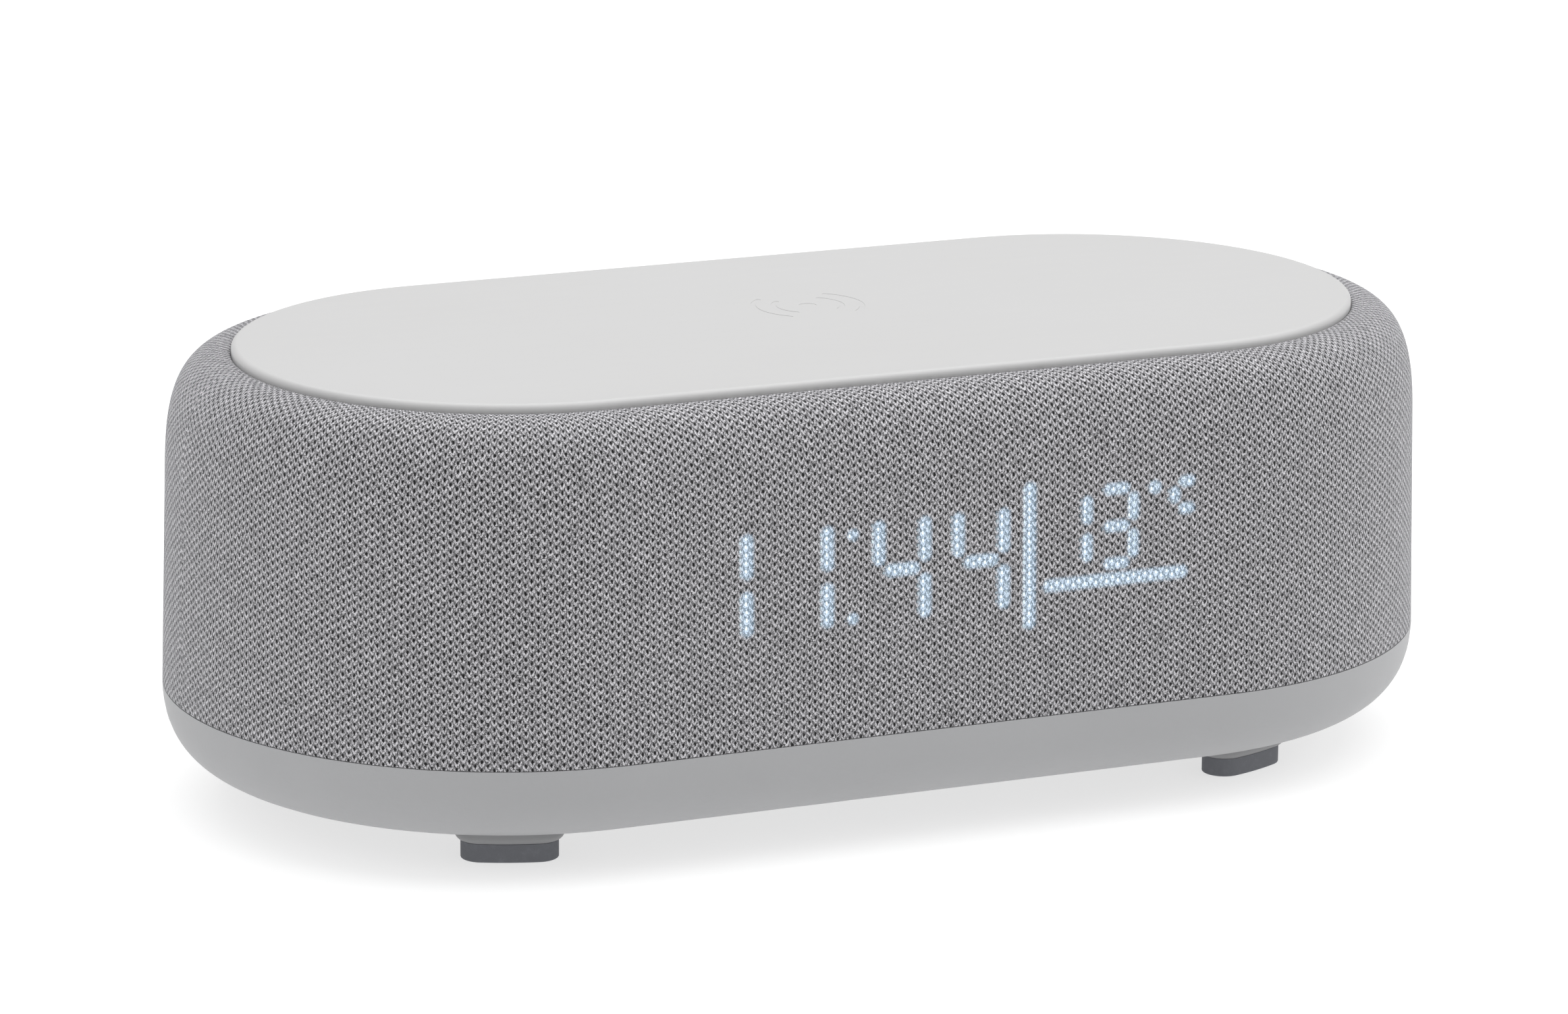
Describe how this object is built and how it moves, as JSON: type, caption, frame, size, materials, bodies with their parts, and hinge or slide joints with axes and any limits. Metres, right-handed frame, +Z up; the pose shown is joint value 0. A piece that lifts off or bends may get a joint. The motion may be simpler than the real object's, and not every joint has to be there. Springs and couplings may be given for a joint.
{
  "type": "wireless charging clock speaker",
  "caption": "Oval desk clock with a knitted cover, a time display that shines through the cloth, a flat charging deck, end speakers and a rear key panel.",
  "frame": {"origin": "middle of the footprint, on the surface that the feet stand on", "axes": "+X to the right along the long side seen from the front, -Y towards the display, +Z up"},
  "size_m": [0.22, 0.114, 0.0766],
  "materials": {
    "basket_metal": "black painted pressed steel",
    "black_plastic": "black moulded plastic",
    "board_parts": "moulded component bodies",
    "button_plastic": "light grey moulded plastic",
    "cell_sleeve": "blue shrink sleeve",
    "coil_copper": "lacquered copper",
    "cone_paper": "dark pressed paper",
    "cover_fabric": "light grey melange weft knit",
    "cream_plastic": "cream connector plastic",
    "diffuser": "frosted film",
    "ferrite": "dark ferrite",
    "foot_rubber": "dark grey rubber",
    "green_board": "green solder mask",
    "grey_plastic": "light grey moulded plastic, fine grain",
    "lead_jacket": "red wire jacket",
    "light_chip": "phosphor coated chips",
    "lit_stroke": "lit diffusing plastic, emissive",
    "magnet": "sintered ferrite magnet",
    "nickel_tab": "nickel strip",
    "pole_steel": "plated steel",
    "reflector_plastic": "pale moulded plastic",
    "ribbon": "white flat cable",
    "shell_plastic": "pale grey moulded plastic",
    "spider_cloth": "resin dipped cloth",
    "steel_screw": "zinc plated",
    "steel_socket": "stamped steel",
    "surround_rubber": "soft black rubber",
    "unlit_stroke": "unlit diffusing plastic",
    "white_plastic": "white satin moulded plastic"
  },
  "bodies": {
    "case": {"aux_socket": "black_plastic", "base_bowl": "grey_plastic", "battery_cells": "cell_sleeve", "battery_tabs": "nickel_tab", "battery_tray": "black_plastic", "card_socket": "steel_socket", "case_screws": "steel_screw", "charging_board": "green_board", "charging_coil": "coil_copper", "charging_parts": "board_parts", "coil_carrier": "black_plastic", "cone_spider_left": "spider_cloth", "cone_spider_right": "spider_cloth", "cone_surround_left": "surround_rubber", "cone_surround_right": "surround_rubber", "dark_strokes": "unlit_stroke", "diffuser_film": "diffuser", "display_board": "green_board", "display_leds": "light_chip", "display_reflector": "reflector_plastic", "fabric_cover": "cover_fabric", "ferrite_sheet": "ferrite", "foot_front_left": "foot_rubber", "foot_front_right": "foot_rubber", "foot_rear_left": "foot_rubber", "foot_rear_right": "foot_rubber", "inner_screws": "steel_screw", "inner_shell": "shell_plastic", "key_switches": "board_parts", "leads": "lead_jacket", "lit_strokes": "lit_stroke", "main_board": "green_board", "main_board_parts": "board_parts", "microphone": "steel_socket", "rear_panel": "grey_plastic", "ribbon_cable": "ribbon", "ribbon_sockets": "cream_plastic", "speaker_basket_left": "basket_metal", "speaker_basket_right": "basket_metal", "speaker_magnet_left": "magnet", "speaker_magnet_right": "magnet", "speaker_poles_left": "pole_steel", "speaker_poles_right": "pole_steel", "temperature_sensor": "board_parts", "top_plate": "white_plastic", "usb_socket": "steel_socket"},
    "button_power": {"button_power": "button_plastic"},
    "button_alarm": {"button_alarm": "button_plastic"},
    "button_set": {"button_set": "button_plastic"},
    "button_minus": {"button_minus": "button_plastic"},
    "button_plus": {"button_plus": "button_plastic"},
    "button_light": {"button_light": "button_plastic"},
    "cone_left": {"speaker_cone_left": "cone_paper", "dust_cap_left": "cone_paper", "voice_coil_left": "coil_copper"},
    "cone_right": {"speaker_cone_right": "cone_paper", "dust_cap_right": "cone_paper", "voice_coil_right": "coil_copper"}
  },
  "joints": [
    {"name": "press_power", "type": "slide", "parent": "case", "child": "button_power", "axis": [0, -1, 0], "range_m": [0, 0.0005], "stiffness_N_per_m": 800},
    {"name": "press_alarm", "type": "slide", "parent": "case", "child": "button_alarm", "axis": [0, -1, 0], "range_m": [0, 0.0005], "stiffness_N_per_m": 800},
    {"name": "press_set", "type": "slide", "parent": "case", "child": "button_set", "axis": [0, -1, 0], "range_m": [0, 0.0005], "stiffness_N_per_m": 800},
    {"name": "press_minus", "type": "slide", "parent": "case", "child": "button_minus", "axis": [0, -1, 0], "range_m": [0, 0.0005], "stiffness_N_per_m": 800},
    {"name": "press_plus", "type": "slide", "parent": "case", "child": "button_plus", "axis": [0, -1, 0], "range_m": [0, 0.0005], "stiffness_N_per_m": 800},
    {"name": "press_light", "type": "slide", "parent": "case", "child": "button_light", "axis": [0, -1, 0], "range_m": [0, 0.0005], "stiffness_N_per_m": 800},
    {"name": "cone_stroke_left", "type": "slide", "parent": "case", "child": "cone_left", "axis": [-1, 0, 0], "range_m": [-0.001, 0.001], "stiffness_N_per_m": 1200, "deforming": ["cone_surround_left", "cone_spider_left"]},
    {"name": "cone_stroke_right", "type": "slide", "parent": "case", "child": "cone_right", "axis": [1, 0, 0], "range_m": [-0.001, 0.001], "stiffness_N_per_m": 1200, "deforming": ["cone_surround_right", "cone_spider_right"]}
  ]
}
